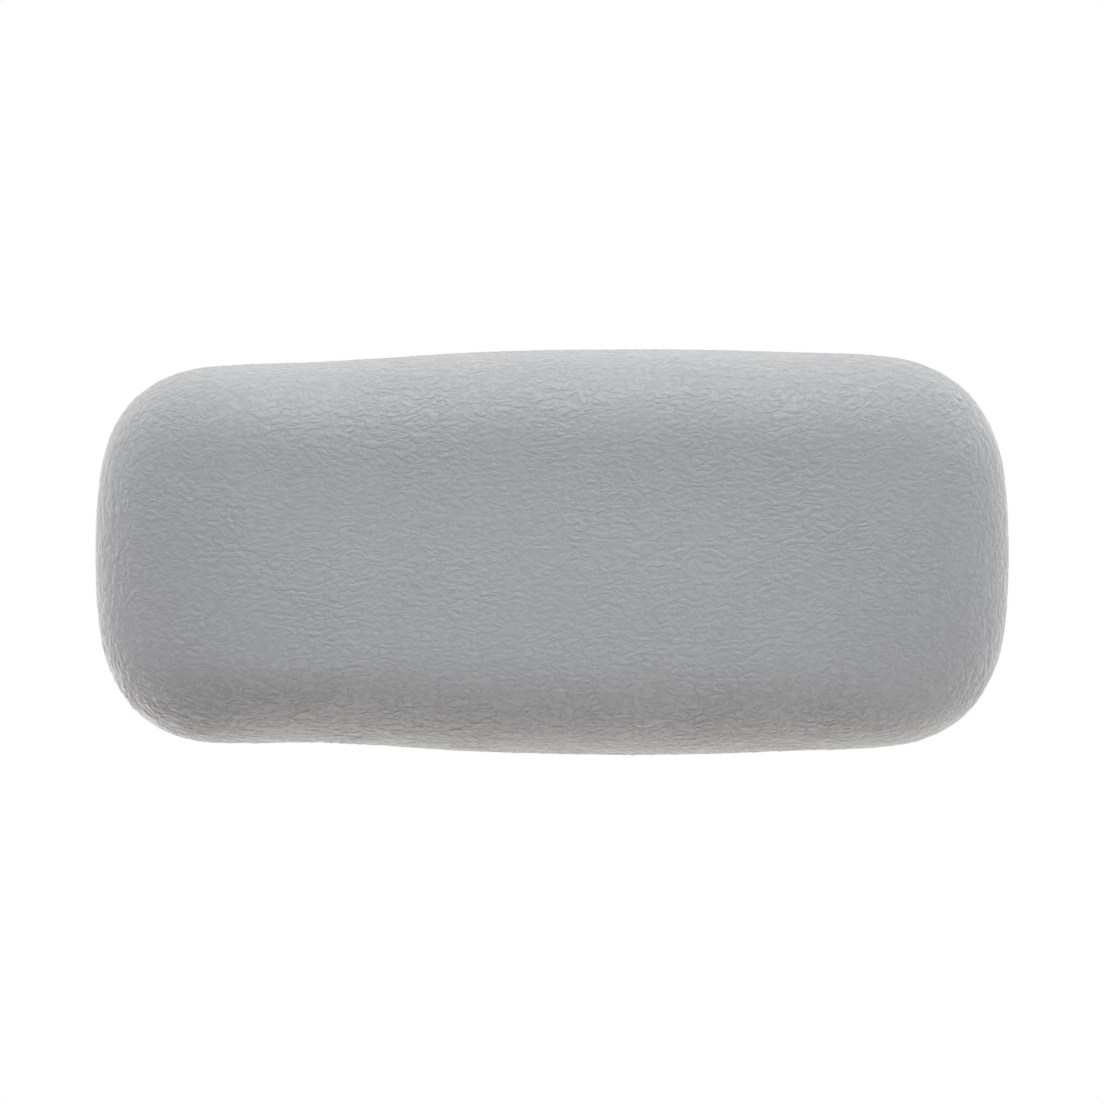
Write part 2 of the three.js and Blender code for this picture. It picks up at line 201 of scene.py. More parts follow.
def skin_mesh():
    n = AROUND
    rings = []

    def back(a, off=0.0, edge=None, normal=None):
        d = off + (BACK_ROUND - off) * (1 - math.cos(a) ** (2 / 2.2))
        z = EQUATOR - (EQUATOR - off) * math.sin(a) ** (2 / 2.2)
        p = inset(d, edge, normal)
        return np.c_[p, np.full(len(p), z)]

    # outside, from the cut edge of the lip to the end of the front roundover
    for d, z in ((LIP_INSET + 0.05, SKIN - 0.35), (LIP_INSET, 0.62), (LIP_INSET - 0.18, 0.2), (LIP_INSET - 0.62, 0.0)):
        p = inset(d)
        rings.append(np.c_[p, np.full(n, z)])
    for d in np.linspace(LIP_INSET - 2.2, BACK_ROUND + 1.5, 5):
        rings.append(np.c_[inset(d), np.zeros(n)])
    for a in np.linspace(math.pi / 2, 0, 12)[:-1]:
        rings.append(back(a))
    for u in round_steps(ROUND_RINGS):
        rings.append(front_ring(EDGE, u))
    points = np.concatenate(rings)
    faces = [ring_faces(k * n, (k + 1) * n, n) for k in range(len(rings) - 1)]

    # the face, a grid inside the last ring
    last = (len(rings) - 1) * n
    ring = rings[-1][:, :2]
    grid = np.full((ACROSS + 1, ALONG + 1), -1)
    i = np.arange(n)
    grid[:ACROSS, -1] = last + i[:ACROSS]
    grid[-1, ::-1][:ALONG] = last + i[ACROSS:ACROSS + ALONG]
    grid[::-1, 0][:ACROSS] = last + i[ACROSS + ALONG:2 * ACROSS + ALONG]
    grid[0, :ALONG] = last + i[2 * ACROSS + ALONG:]
    G = np.zeros((ACROSS + 1, ALONG + 1, 2))
    known = grid >= 0
    G[known] = ring[grid[known] - last]
    v = np.linspace(0, 1, ACROSS + 1)[:, None, None]
    u = np.linspace(0, 1, ALONG + 1)[None, :, None]
    coons = ((1 - v) * G[:1] + v * G[-1:] + (1 - u) * G[:, :1] + u * G[:, -1:]
             - ((1 - u) * (1 - v) * G[0, 0] + u * (1 - v) * G[0, -1] + (1 - u) * v * G[-1, 0] + u * v * G[-1, -1]))
    inner = coons[1:-1, 1:-1].reshape(-1, 2)
    grid[1:-1, 1:-1] = len(points) + np.arange(len(inner)).reshape(ACROSS - 1, ALONG - 1)
    points = np.r_[points, np.c_[inner, DEPTH + relief(inner[:, 0], inner[:, 1])]]
    faces.append(np.stack([grid[:-1, :-1], grid[:-1, 1:], grid[1:, 1:], grid[1:, :-1]], -1).reshape(-1, 4))
    outside = len(points)

    # inside, with a quarter as many points round it
    step = 4
    m = n // step
    edge, normal = EDGE[::step], EDGE_N[::step]
    inside = [np.c_[inset(LIP_INSET - 0.3, edge, normal), np.full(m, SKIN)],
              np.c_[inset(BACK_ROUND + 3, edge, normal), np.full(m, SKIN)]]
    inside += [back(a, SKIN, edge, normal) for a in np.linspace(math.pi / 2, 0, 6)[:-1]]
    inside += [front_ring(inset(SKIN, edge, normal), u, SKIN) for u in round_steps(12)]
    for k in (0.7, 0.4, 0.12):
        base = front_ring(inset(SKIN, edge, normal), 1.0, SKIN)[:, :2]
        cx = np.clip(base[:, 0], -62, 62)
        x, y = cx + (base[:, 0] - cx) * k, base[:, 1] * k
        inside.append(np.c_[x, y, DEPTH - SKIN + relief(x, y)])
    start = outside
    points = np.r_[points, np.concatenate(inside)]
    tri = []
    for j in range(m):
        c0, c1 = start + j, start + (j + 1) % m
        f = [(j * step + k) % n for k in range(step + 1)]
        tri += [(c0, f[1], f[0]), (c0, f[2], f[1]), (c0, c1, f[2]), (c1, f[3], f[2]), (c1, f[4], f[3])]
    quads = [ring_faces(start + k * m, start + (k + 1) * m, m)[:, ::-1] for k in range(len(inside) - 1)]
    cap = list(range(start + (len(inside) - 1) * m, start + len(inside) * m))[::-1]
    all_faces = [tuple(map(int, q)) for q in np.concatenate(faces + quads)] + tri + [tuple(cap)]
    return points, all_faces, outside


# ---------------------------------------------------------------- nodes, for shape and for materials


class Graph:
    """Helpers for wiring nodes, in a material or in a mesh modifier. Places are in millimetres."""

    def __init__(self, tree):
        self.tree = tree

    def node(self, kind, **props):
        n = self.tree.nodes.new(kind)
        for k, v in props.items():
            setattr(n, k, v)
        return n

    def feed(self, socket, value):
        if isinstance(value, bpy.types.NodeSocket):
            self.tree.links.new(value, socket)
        else:
            socket.default_value = value

    def math(self, op, a, b=0.0, clamp=False):
        n = self.node("ShaderNodeMath", operation=op, use_clamp=clamp)
        self.feed(n.inputs[0], a)
        self.feed(n.inputs[1], b)
        return n.outputs[0]

    def vec(self, op, a, b):
        n = self.node("ShaderNodeVectorMath", operation=op)
        self.feed(n.inputs[0], a)
        self.feed(n.inputs[1], b)
        return n.outputs[0]

    def scaled(self, v, k):
        n = self.node("ShaderNodeVectorMath", operation="SCALE")
        self.feed(n.inputs[0], v)
        n.inputs["Scale"].default_value = k
        return n.outputs[0]

    def noise(self, v, scale, detail=2.0, rough=0.5, colour=False):
        n = self.node("ShaderNodeTexNoise", noise_dimensions="3D")
        self.feed(n.inputs["Vector"], v)
        n.inputs["Scale"].default_value = scale
        n.inputs["Detail"].default_value = detail
        n.inputs["Roughness"].default_value = rough
        return n.outputs["Color" if colour else "Fac"]

    def cells(self, v, scale, feature="DISTANCE_TO_EDGE", random=1.0):
        n = self.node("ShaderNodeTexVoronoi", voronoi_dimensions="3D", feature=feature)
        self.feed(n.inputs["Vector"], v)
        n.inputs["Scale"].default_value = scale
        n.inputs["Randomness"].default_value = random
        return n.outputs["Distance"]

    def ramp(self, x, low, high, to_low=0.0, to_high=1.0, kind="SMOOTHSTEP"):
        n = self.node("ShaderNodeMapRange", interpolation_type=kind)
        for k, v in zip(("Value", "From Min", "From Max", "To Min", "To Max"), (x, low, high, to_low, to_high)):
            self.feed(n.inputs[k], v)
        return n.outputs[0]

    def warp(self, v, scale, amount, detail=2.0):
        n = self.noise(v, scale, detail, 0.5, True)
        return self.vec("ADD", v, self.scaled(self.vec("SUBTRACT", n, (0.5, 0.5, 0.5)), amount))

    def mark(self, name):
        """A number stored on the mesh."""
        n = self.node("GeometryNodeInputNamedAttribute", data_type="FLOAT")
        n.inputs["Name"].default_value = name
        return n.outputs["Attribute"]

    def tint(self, x, dark, light):
        """A colour between two, by x from 0 to 1."""
        n = self.node("ShaderNodeMix", data_type="RGBA")
        self.feed(n.inputs["Factor"], x)
        n.inputs[6].default_value = (*dark, 1)
        n.inputs[7].default_value = (*light, 1)
        return n.outputs[2]


class Look(Graph):
    """A node material with one Principled shader."""

    def __init__(self, name):
        self.mat = bpy.data.materials.new(name)
        self.mat.use_nodes = True
        super().__init__(self.mat.node_tree)
        self.tree.nodes.clear()
        out = self.node("ShaderNodeOutputMaterial")
        self.bsdf = self.node("ShaderNodeBsdfPrincipled")
        self.tree.links.new(self.bsdf.outputs[0], out.inputs[0])
        self.place = self.scaled(self.node("ShaderNodeTexCoord").outputs["Object"], 1000.0)

    def set(self, name, value):
        self.feed(self.bsdf.inputs[name], value)

    def shade(self, rgb, k):
        """A colour made lighter or darker."""
        n = self.node("ShaderNodeVectorMath", operation="SCALE")
        n.inputs[0].default_value = rgb
        self.feed(n.inputs["Scale"], k)
        return n.outputs[0]

    def mark(self, name):
        n = self.node("ShaderNodeAttribute")
        n.attribute_name = name
        return n.outputs["Fac"]

    def bump(self, height, depth_mm, strength=1.0, normal=None):
        n = self.node("ShaderNodeBump")
        n.inputs["Strength"].default_value = strength
        n.inputs["Distance"].default_value = depth_mm * MM
        self.feed(n.inputs["Height"], height)
        if normal is not None:
            self.feed(n.inputs["Normal"], normal)
        return n.outputs[0]


# ---------------------------------------------------------------- the leather grain, pressed into the skin

def leather(g, place):
    """Leather grain at a place: how near the creases, which run along the cushion and turn along the rim at its
    ends, how near the edges of the pillows between them, and how strong the grain is thereabouts."""
    p = g.warp(g.warp(place, 0.12, 5.0, 2.0), 0.5, 1.2, 1.0)
    along = g.noise(g.vec("MULTIPLY", p, (0.52, 0.70, 1.0)), 0.60, 1.0)
    rim = g.noise(g.vec("MULTIPLY", p, (0.90, 0.62, 0.34)), 0.60, 1.0)
    level = g.math("ADD", along, g.math("MULTIPLY", g.math("SUBTRACT", rim, along), g.mark("end")))
    run = g.math("ABSOLUTE", g.math("SUBTRACT", level, 0.5))
    edge = g.cells(g.vec("MULTIPLY", p, (0.66, 0.80, 1.0)), 0.52)
    patch = g.ramp(g.noise(place, 0.04, 2.0), 0.32, 0.68, 0.70, 1.15)
    return run, edge, patch


def press_grain(ob, run_depth, edge_depth):
    """Presses the creases into the mesh itself, as deep as its "press" marks say."""
    tree = bpy.data.node_groups.new("press_grain", "GeometryNodeTree")
    for way in ("INPUT", "OUTPUT"):
        tree.interface.new_socket("Geometry", in_out=way, socket_type="NodeSocketGeometry")
    g = Graph(tree)
    place = g.scaled(g.node("GeometryNodeInputPosition").outputs[0], 1000.0)
    run, edge, patch = leather(g, place)
    dip = g.math("ADD", g.ramp(run, 0.0, 0.14, -run_depth, 0.0), g.ramp(edge, 0.0, 0.45, -edge_depth, 0.0))
    dip = g.math("MULTIPLY", g.math("MULTIPLY", dip, patch), g.mark("press"))
    move = g.node("ShaderNodeVectorMath", operation="SCALE")
    g.feed(move.inputs[0], g.node("GeometryNodeInputNormal").outputs[0])
    g.feed(move.inputs["Scale"], g.math("MULTIPLY", dip, MM))
    put = g.node("GeometryNodeSetPosition")
    g.feed(put.inputs["Geometry"], g.node("NodeGroupInput").outputs[0])
    g.feed(put.inputs["Offset"], move.outputs[0])
    g.feed(g.node("NodeGroupOutput").inputs[0], put.outputs[0])
    ob.modifiers.new("grain", "NODES").node_group = tree
    view = bpy.context.evaluated_depsgraph_get()
    pressed = bpy.data.meshes.new_from_object(ob.evaluated_get(view), depsgraph=view)
    ob.modifiers.clear()
    plain, ob.data = ob.data, pressed
    name = plain.name
    bpy.data.meshes.remove(plain)
    pressed.name = name


points, faces, outside = skin_mesh()
skin = link("cushion_skin", mesh_of("cushion_skin", stand(points), faces))
facing = np.empty(len(points) * 3, np.float32)
skin.data.vertex_normals.foreach_get("vector", facing)
facing = facing.reshape(-1, 3)
up = facing[:, 2]
end = smooth((np.abs(facing[:, 0]) - 0.45) / 0.3)
low = smooth(-up / 0.6)
left = -points[:, 0] / HALF_WIDTH * smooth((np.abs(points[:, 0]) - 80) / 25)
press = 1 + 0.5 * smooth(np.abs(up) / 0.7) + 0.7 * low + 0.35 * end
press += (0.9 * np.minimum(left, 0) + 0.45 * np.maximum(left, 0)) * low * (1 - end)
press *= smooth((points[:, 2] - 0.5) / 4.0)
press[outside:] = 0.0
# Painted shade: a soft patch low on the left end of the face, darkened in the skin's colour to deepen the shade there.
painted_corner_shade = np.exp(-(((points[:, 0] + 95) / 18) ** 2) - ((points[:, 1] + 43) / 8.5) ** 2) * smooth((points[:, 2] - 10) / 10)
for name, value in (("press", press), ("end", end), ("painted_corner_shade", painted_corner_shade)):
    skin.data.attributes.new(name, "FLOAT", "POINT").data.foreach_set("value", value.astype(np.float32))
press_grain(skin, RUN_DEPTH, EDGE_DEPTH)
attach(skin, "headrest")
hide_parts("cover_skin")

# ---------------------------------------------------------------- tools for the hard pieces, in millimetres in the face frame
STAND = Matrix(((MM, 0, 0, 0), (0, 0, -MM, 0), (0, MM, 0, 0), (0, 0, 0, 1)))


def circle(radius, count, x=0.0, y=0.0):
    a = np.linspace(0, 2 * math.pi, count, endpoint=False)
    return np.stack([x + radius * np.cos(a), y + radius * np.sin(a)], 1)


def rounded_box(width, height, radius, x=0.0, y=0.0, steps=6):
    out = []
    for k, (sx, sy) in enumerate(((1, 1), (-1, 1), (-1, -1), (1, -1))):
        a = np.linspace(k * math.pi / 2, (k + 1) * math.pi / 2, steps + 1)
        out.append(np.stack([x + sx * (width / 2 - radius) + radius * np.cos(a),
                             y + sy * (height / 2 - radius) + radius * np.sin(a)], 1))
    return np.concatenate(out)


def loft(name, rings):
    """A closed body through rings of points, each (polygon, height), capped at both ends."""
    n = len(rings[0][0])
    points = np.concatenate([np.c_[p, np.full(n, float(z))] for p, z in rings])
    faces = [tuple(map(int, q)) for k in range(len(rings) - 1) for q in ring_faces(k * n, (k + 1) * n, n)]
    faces += [tuple(range(n))[::-1], tuple(range((len(rings) - 1) * n, len(rings) * n))]
    return link(name, mesh_of(name, points, faces))


def fillet(profile, radius, steps=5):
    """A profile with each of its inner corners rounded by up to that radius; a list gives one radius per corner."""
    P = [np.array(p, float) for p in profile]
    radii = [radius] * (len(P) - 2) if np.isscalar(radius) else radius
    out = [P[0]]
    for a, b, c, r in zip(P[:-2], P[1:-1], P[2:], radii):
        u, v = a - b, c - b
        lu, lv = np.linalg.norm(u), np.linalg.norm(v)
        half = math.acos(max(-1.0, min(1.0, float(u @ v) / (lu * lv)))) / 2
        t = min(r / math.tan(half), 0.45 * lu, 0.45 * lv) if half < 1.56 else 0.0
        if t < 1e-4:
            out.append(b)
            continue
        p, q = b + u / lu * t, b + v / lv * t
        for s in np.linspace(0, 1, steps + 1):
            out.append((1 - s) ** 2 * p + 2 * s * (1 - s) * b + s * s * q)
    out.append(P[-1])
    return out


def turned(name, profile, count=64, x=0.0, y=0.0):
    """A turned body about Z from a profile of (radius, height) that starts and ends on the axis."""
    rings = [(r, z) for r, z in profile if r > 1e-6]
    points = [(x, y, profile[0][1])]
    for r, z in rings:
        points += [(px, py, z) for px, py in circle(r, count, x, y)]
    points.append((x, y, profile[-1][1]))
    faces = [tuple(map(int, q)) for k in range(len(rings) - 1)
             for q in ring_faces(1 + k * count, 1 + (k + 1) * count, count)]
    end = 1 + (len(rings) - 1) * count
    for i in range(count):
        j = (i + 1) % count
        faces += [(0, 1 + j, 1 + i), (len(points) - 1, end + i, end + j)]
    return link(name, mesh_of(name, points, faces))


def apply_modifiers(ob):
    bpy.context.view_layer.update()
    me = bpy.data.meshes.new_from_object(ob.evaluated_get(bpy.context.evaluated_depsgraph_get()))
    ob.modifiers.clear()
    old, ob.data = ob.data, me
    bpy.data.meshes.remove(old)
    me.name = ob.name


def carve(ob, cutters, operation="DIFFERENCE"):
    for c in cutters:
        m = ob.modifiers.new("carve", "BOOLEAN")
        m.operation, m.solver, m.object = operation, "EXACT", c
    apply_modifiers(ob)
    for c in cutters:
        me = c.data
        bpy.data.objects.remove(c)
        bpy.data.meshes.remove(me)


def well(poly_at, floor, rim, foot, start, mouth=-1.0):
    """A cutter sunk from `start` to `floor`: poly_at(grow) is its outline, `rim` rounds its mouth and `foot` its floor."""
    rings = [(poly_at(rim), mouth), (poly_at(rim), start - 0.005)]
    for a in np.linspace(0, math.pi / 2, 6)[1:]:
        rings.append((poly_at(rim * (1 - math.sin(a))), start + rim * (1 - math.cos(a))))
    for a in np.linspace(0, math.pi / 2, 5) if foot else ():
        rings.append((poly_at(-foot * (1 - math.cos(a))), floor - foot * (1 - math.sin(a))))
    if not foot:
        rings.append((poly_at(0.0), floor))
    return loft("cutter", rings)


def tidy(ob, angle=38):
    """Merges what a cut left doubled, then shades: flat stays flat, small rounds are smooth."""
    bm = bmesh.new()
    bm.from_mesh(ob.data)
    bmesh.ops.remove_doubles(bm, verts=bm.verts, dist=1e-4)
    bmesh.ops.dissolve_degenerate(bm, edges=bm.edges, dist=1e-4)
    bmesh.ops.recalc_face_normals(bm, faces=bm.faces)
    bm.to_mesh(ob.data)
    bm.free()
    ob.data.polygons.foreach_set("use_smooth", [True] * len(ob.data.polygons))
    ob.data.set_sharp_from_angle(angle=math.radians(angle))
    m = ob.modifiers.new("even", "WEIGHTED_NORMAL")
    m.mode, m.weight, m.keep_sharp = "FACE_AREA", 60, True
    apply_modifiers(ob)


def place(ob, body, node, slot, x=0.0, y=0.0):
    """Stands a finished piece in the row frame and makes it take a CAD node's place."""
    ob.data.transform(STAND @ Matrix.Translation((x, y, 0)))
    ob.data.update()
    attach(ob, body)
    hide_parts(node)
    return ob


# ---------------------------------------------------------------- foam filling
PLATE = 4.5
PIN_AT = 70.0
SCREW_OFFSET = 15.5


def foam_body():
    off = SKIN + 0.3
    edge, normal = EDGE[::3], EDGE_N[::3]
    m = len(edge)
    rings = [np.c_[inset(LIP_INSET - 6, edge, normal), np.full(m, off)]]
    for a in np.linspace(math.pi / 2, 0, 8)[:-1]:
        d = off + (BACK_ROUND - off) * (1 - math.cos(a) ** (2 / 2.2))
        z = EQUATOR - (EQUATOR - off) * math.sin(a) ** (2 / 2.2)
        rings.append(np.c_[inset(d, edge, normal), np.full(m, z)])
    rings += [front_ring(inset(off, edge, normal), u, off) for u in round_steps(16)]
    base = rings[-1][:, :2]
    cx = np.clip(base[:, 0], -62, 62)
    for k in (0.75, 0.5, 0.25, 0.06):
        x, y = cx + (base[:, 0] - cx) * k, base[:, 1] * k
        rings.append(np.c_[x, y, DEPTH - off + relief(x, y)])
    faces = [tuple(map(int, q)) for k in range(len(rings) - 1) for q in ring_faces(k * m, (k + 1) * m, m)]
    faces += [tuple(range(m))[::-1], tuple(range((len(rings) - 1) * m, len(rings) * m))]
    ob = link("foam_filling", mesh_of("foam_filling", np.concatenate(rings), faces))
    cutters = [loft("cutter", [(inset(15.6, edge, normal), 0.0), (inset(15.6, edge, normal), PLATE + 0.3)])]
    for x in (-PIN_AT, PIN_AT):
        cutters.append(loft("cutter", [(circle(7.6, 40, x), 3.0), (circle(7.6, 40, x), 21.0)]))
        cutters.append(loft("cutter", [(rounded_box(19, 2 * SCREW_OFFSET + 12, 6, x), 3.0),
                                       (rounded_box(19, 2 * SCREW_OFFSET + 12, 6, x), 10.6)]))
        for y in (SCREW_OFFSET, -SCREW_OFFSET):
            cutters.append(loft("cutter", [(circle(4.5, 24, x, y), 3.0), (circle(4.5, 24, x, y), 13.6)]))
    carve(ob, cutters)
    tidy(ob)
    return ob


foam = place(foam_body(), "headrest", "foam_core", "foam")

# ---------------------------------------------------------------- back plate
LAND_INSET = LIP_INSET + 0.6
FLANGE_INSET = 16.0


def plate_body():
    edge, normal = EDGE[::3], EDGE_N[::3]
    path = fillet([(LAND_INSET + 2.2, 0.0), (LAND_INSET, 0.0), (LAND_INSET, 2.0), (FLANGE_INSET, 2.0),
                   (FLANGE_INSET, PLATE), (FLANGE_INSET + 6, PLATE)], [0.7, 0.3, 0.5, 0.5], 5)
    ob = loft("mounting_plate", [(inset(d, edge, normal), z) for d, z in path])
    cutters = []
    box = lambda w, h, r, x, y, s=6: (lambda g: rounded_box(w + 2 * g, h + 2 * g, max(r + g, 0.05), x, y, s))
    disc = lambda r, x, y, c=48: (lambda g: circle(r + g, c, x, y))
    for x, y, w, h in ((-27.5, 15, 49, 24), (27.5, 15, 49, 24), (-27.5, -15, 49, 24), (27.5, -15, 49, 24),
                       (-94, 13, 16, 20), (-94, -13, 16, 20), (94, 13, 16, 20), (94, -13, 16, 20)):
        b = box(w, h, 4, x, y)
        cutters.append(loft("cutter", [(b(-1.0), 2.5), (b(-0.3), 2.8), (b(0.0), 3.4), (b(0.0), 4.1), (b(0.35), 4.5), (b(0.35), 5.5)]))
    carve(ob, cutters)
    cutters = []
    for x in (-27.5, 27.5):
        for y in (15, -15):
            cutters.append(well(disc(2.1, x, y, 36), 6.0, 0.5, 0, 0.0))
    for x in (-PIN_AT, PIN_AT):
        cutters.append(well(disc(9.4, x, 0, 72), 2.6, 0.5, 0.25, 0.0))
        for y in (SCREW_OFFSET, -SCREW_OFFSET):
            cutters.append(well(disc(3.6, x, y, 40), 2.1, 0.4, 0.2, 0.0))
    # where the plastic was fed into the mould: a dimple
    cutters.append(well(disc(1.7, 0, 0, 32), 0.35, 0.25, 0.15, 0.0))
    carve(ob, cutters)
    cutters = []
    for x in (-PIN_AT, PIN_AT):
        cutters.append(well(disc(5.3, x, 0, 48), 6.0, 0.3, 0, 2.6, 1.0))
        for y in (SCREW_OFFSET, -SCREW_OFFSET):
            cutters.append(well(disc(1.8, x, y, 24), 6.0, 0.15, 0, 2.1, 1.0))
    carve(ob, cutters)
    tidy(ob)
    return ob


plate = place(plate_body(), "headrest", "back_plate", "plate_abs")

# ---------------------------------------------------------------- pin sockets


def socket_body(name):
    z0 = PLATE + 0.3
    ob = turned(name, fillet([(0, z0), (9, z0), (9, 9.8), (7, 9.8), (7, 20.5), (0, 20.5)], [0.3, 0.5, 0.8, 0.9]), 64)
    ears = loft("cutter", [(rounded_box(11 - 2 * g, 2 * SCREW_OFFSET + 9 - 2 * g, 5.4 - g, steps=8), z)
                           for g, z in ((0.3, z0), (0, z0 + 0.3), (0, 9.3), (0.15, 9.65), (0.5, 9.8))])
    add = [ears]
    for y in (SCREW_OFFSET, -SCREW_OFFSET):
        add.append(turned("cutter", fillet([(0, z0 + 0.2), (3.9, z0 + 0.2), (3.9, 13), (0, 13)], [0.1, 0.6]), 32, 0, y))
    # four webs that stiffen the cup on its flange
    for k in range(4):
        a = math.pi / 4 + k * math.pi / 2
        c, s = math.cos(a), math.sin(a)
        web = [(6.2, 9.0), (8.4, 9.0), (8.4, 9.9), (6.9, 15.5), (6.2, 15.5)]
        pts = [(r * c - w * s, r * s + w * c, z) for w in (-0.7, 0.7) for r, z in web]
        n = len(web)
        fs = [tuple(range(n)), tuple(range(2 * n - 1, n - 1, -1))] + [(i, n + i, n + (i + 1) % n, (i + 1) % n) for i in range(n)]
        add.append(link("cutter", mesh_of("cutter", pts, fs)))
    for w in add[3:]:
        bm = bmesh.new()
        bm.from_mesh(w.data)
        bmesh.ops.recalc_face_normals(bm, faces=bm.faces)
        bm.to_mesh(w.data)
        bm.free()
    carve(ob, add, "UNION")
    cut = [well(lambda g: circle(5.1 + g, 48), 18.5, 0.5, 0.3, z0, 2.0),
           loft("cutter", [(circle(1.2, 20), 17.0), (circle(1.2, 20), 22.0)])]
    for y in (SCREW_OFFSET, -SCREW_OFFSET):
        cut.append(well(lambda g, y=y: circle(1.6 + g, 24, 0, y), 12.4, 0.25, 0, z0, 2.0))
    carve(ob, cut)
    tidy(ob)
    return ob


# ---------------------------------------------------------------- snap pins
PIN_OUT = 20.0
ORING_AT = 12.4


def pin_body(name):
    o = -PIN_OUT
    g = ORING_AT
    ob = turned(name, fillet([
        (0, o), (3.75, o), (6.3, o + 7.2), (6.3, o + 8.5), (4.6, o + 9.6), (4.6, 0.1), (8.6, 0.1), (8.6, 1.7),
        (4.8, 1.7), (4.8, g - 0.95), (3.4, g - 0.95), (3.4, g + 0.95), (4.8, g + 0.95), (4.8, 17.5), (0, 17.5)],
        [0.7, 0.5, 0.35, 0.5, 1.1, 0.4, 0.25, 0.3, 0.15, 0.25, 0.25, 0.15, 0.9]), 72)
    cut = [turned("cutter", [(0, o - 1), (2.5, o - 1), (2.45, o), (2.1, o + 0.6), (2.1, -5.6), (0, -4.5)], 40)]
    for turn in (False, True):
        a = np.linspace(0, math.pi, 13)
        side = [(-0.8, o - 1)] + [(-0.8 * math.cos(t), -5.8 + 0.8 * math.sin(t)) for t in a] + [(0.8, o - 1)]
        n = len(side)
        pts = [((w, x, z) if turn else (x, w, z)) for x in (-8, 8) for w, z in side]
        fs = [tuple(range(n)), tuple(range(2 * n - 1, n - 1, -1))] + [(i, n + i, n + (i + 1) % n, (i + 1) % n) for i in range(n)]
        c = link("cutter", mesh_of("cutter", pts, fs))
        bm = bmesh.new()
        bm.from_mesh(c.data)
        bmesh.ops.recalc_face_normals(bm, faces=bm.faces)
        bm.to_mesh(c.data)
        bm.free()
        cut.append(c)
    carve(ob, cut)
    tidy(ob)
    return ob


def oring_body(name):
    """A round ring with the fine flash line its mould leaves."""
    big, small = 4.2, 0.72
    points, faces = [], []
    n, m = 72, 24
    for i in range(n):
        a = 2 * math.pi * i / n
        for j in range(m):
            b = 2 * math.pi * j / m
            r = small * (1.0 + (0.02 if j in (0, m // 2) else 0.0))
            d = big + r * math.cos(b)
            points.append((d * math.cos(a), d * math.sin(a), ORING_AT + r * math.sin(b)))
    for i in range(n):
        for j in range(m):
            p, q = (i + 1) % n, (j + 1) % m
            faces.append((i * m + j, p * m + j, p * m + q, i * m + q))
    return link(name, mesh_of(name, points, faces))


def washer_body(name):
    n = 72
    path = fillet([(6.5, 1.8), (8.4, 1.8), (8.4, 2.5), (4.95, 2.5), (4.95, 1.8), (6.5, 1.8)], 0.15, 4)[:-1]
    points = np.concatenate([np.c_[circle(r, n), np.full(n, z)] for r, z in path])
    faces = [tuple(map(int, q)) for k in range(len(path)) for q in ring_faces(k * n, (k + 1) % len(path) * n, n)]
    ob = link(name, mesh_of(name, points, faces))
    tidy(ob)
    return ob


def screw_body(name):
    """Pan head with a cross recess, and a coarse thread."""
    n = 36
    head = fillet([(0, 0.25), (2.1, 0.25), (3.2, 1.05), (3.2, 2.0), (1.45, 2.0), (1.45, 2.5)], [1.6, 0.5, 0.12, 0.1], 6)[1:]
    rows = [[(r, z)] * n for r, z in head]
    pitch, top, end = 1.27, 2.5, 12.0
    a = np.arange(n) / n
    for z in np.linspace(top + 0.1, end, 92):
        saw = np.abs(((z / pitch - a) % 1.0) - 0.5) * 2
        ridge = np.clip(1 - saw * 1.7, 0, 1)
        taper = min(1.0, (end - z) / 2.2)
        r = (1.02 + 0.43 * ridge * min(1.0, (z - top) / 0.5)) * (0.12 + 0.88 * taper)
        rows.append([(float(q), float(z)) for q in r])
    points = [(0, 0, 0.25)]
    for row in rows:
        points += [(r * math.cos(2 * math.pi * t), r * math.sin(2 * math.pi * t), z) for (r, z), t in zip(row, a)]
    points.append((0, 0, end + 0.08))
    faces = [tuple(map(int, q)) for k in range(len(rows) - 1) for q in ring_faces(1 + k * n, 1 + (k + 1) * n, n)]
    last = 1 + (len(rows) - 1) * n
    for i in range(n):
        j = (i + 1) % n
        faces += [(0, 1 + j, 1 + i), (len(points) - 1, last + i, last + j)]
    ob = link(name, mesh_of(name, points, faces))

    def cross(long, wide):
        q = [(long, -wide), (long, wide), (wide, wide), (wide, long), (-wide, long), (-wide, wide),
             (-long, wide), (-long, -wide), (-wide, -wide), (-wide, -long), (wide, -long), (wide, -wide)]
        return np.array(q, float)

    carve(ob, [loft("cutter", [(cross(1.85, 0.46), -0.5), (cross(1.7, 0.42), 0.25), (cross(0.75, 0.34), 1.55)])])
    tidy(ob, 45)
    return ob


hard = {"socket": [], "pin": [], "soft_ring": [], "screw": []}
for side, x in (("left", -PIN_AT), ("right", PIN_AT)):
    hard["socket"].append(place(socket_body(f"socket_cup_{side}"), "headrest", f"pin_socket_{side}", "socket_acetal", x))
    hard["pin"].append(place(pin_body(f"push_pin_{side}"), f"{side}_pin", f"snap_pin_{side}", "pin_nylon", x))
    hard["soft_ring"].append(place(washer_body(f"collar_washer_{side}"), f"{side}_pin", f"pin_washer_{side}", "nitrile", x))
    hard["soft_ring"].append(place(oring_body(f"grip_ring_{side}"), f"{side}_pin", f"pin_oring_{side}", "nitrile", x))
    for where, y in (("upper", SCREW_OFFSET), ("lower", -SCREW_OFFSET)):
        hard["screw"].append(place(screw_body(f"cup_screw_{side}_{where}"), "headrest", f"socket_screw_{side}_{where}", "screw_steel", x, y))

# ---------------------------------------------------------------- materials


def times(rgb, k):
    return tuple(c * k for c in rgb)


